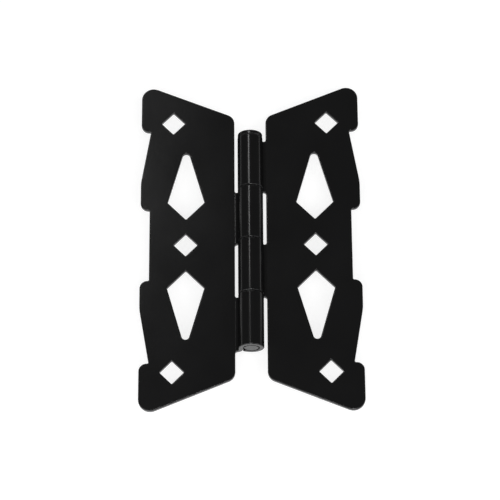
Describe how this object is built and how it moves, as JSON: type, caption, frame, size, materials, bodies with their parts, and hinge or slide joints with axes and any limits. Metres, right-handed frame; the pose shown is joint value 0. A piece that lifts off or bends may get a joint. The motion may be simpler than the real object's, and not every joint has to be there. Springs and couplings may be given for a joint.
{
  "type": "decorative gate butt hinge",
  "caption": "Black steel gate hinge lying open: two butterfly-shaped leaves with kite cut-outs and square bolt holes, rolled knuckles and a headed pin.",
  "frame": {"origin": "in the plane of the leaves' backs, straight below the middle of the pin, with the hinge open flat", "axes": "+Z out of the leaves' front faces; +Y along the pin, towards its head; +X towards the post leaf"},
  "size_m": [0.13, 0.2036, 0.015],
  "materials": {
    "powder_coat": "satin black powder coat on steel"
  },
  "bodies": {
    "post_side": {"post_leaf": "powder_coat", "hinge_pin": "powder_coat"},
    "gate_side": {"gate_leaf": "powder_coat"}
  },
  "joints": [
    {"name": "pin_hinge", "type": "hinge", "parent": "post_side", "child": "gate_side", "pos_m": [0, 0, 0.00758], "axis": [0, 1, 0], "range_deg": [-95, 180]}
  ]
}
